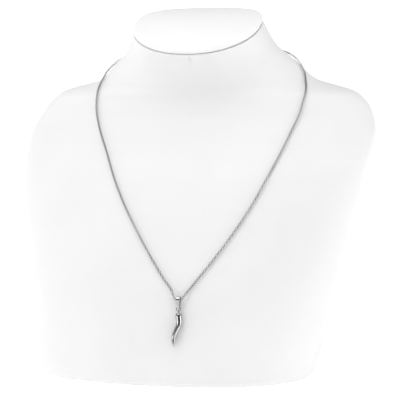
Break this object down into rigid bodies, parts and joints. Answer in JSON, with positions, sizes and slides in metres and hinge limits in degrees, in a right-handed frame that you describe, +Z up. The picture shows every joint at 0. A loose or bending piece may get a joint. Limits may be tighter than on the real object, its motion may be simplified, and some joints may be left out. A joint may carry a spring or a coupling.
{
  "type": "cornicello horn pendant necklace on a neck display bust",
  "caption": "Small wavy horn charm on a tapered bail and jump ring, hung on a fine cable chain round a sloping covered neck display bust.",
  "frame": {"origin": "centre of the bust's flat base, on the surface it stands on", "axes": "+Z up, -Y towards the viewer that the chest faces, +X to the right of that viewer"},
  "size_m": [0.189, 0.1309, 0.1795],
  "materials": {
    "bust_covering": "fine-grained white leatherette over a light moulded core, satin",
    "cap_covering": "the same white leatherette over a thin board, satin",
    "chain_silver": "polished sterling silver",
    "bail_silver": "polished sterling silver",
    "ring_silver": "polished sterling silver",
    "horn_silver": "cast sterling silver, highly polished",
    "clasp_silver": "polished sterling silver"
  },
  "bodies": {
    "root": {"bust": "bust_covering", "neck_cap": "cap_covering", "chain": "chain_silver", "bail": "bail_silver", "jump_ring": "ring_silver", "horn": "horn_silver", "clasp": "clasp_silver", "end_ring": "ring_silver"}
  },
  "joints": []
}
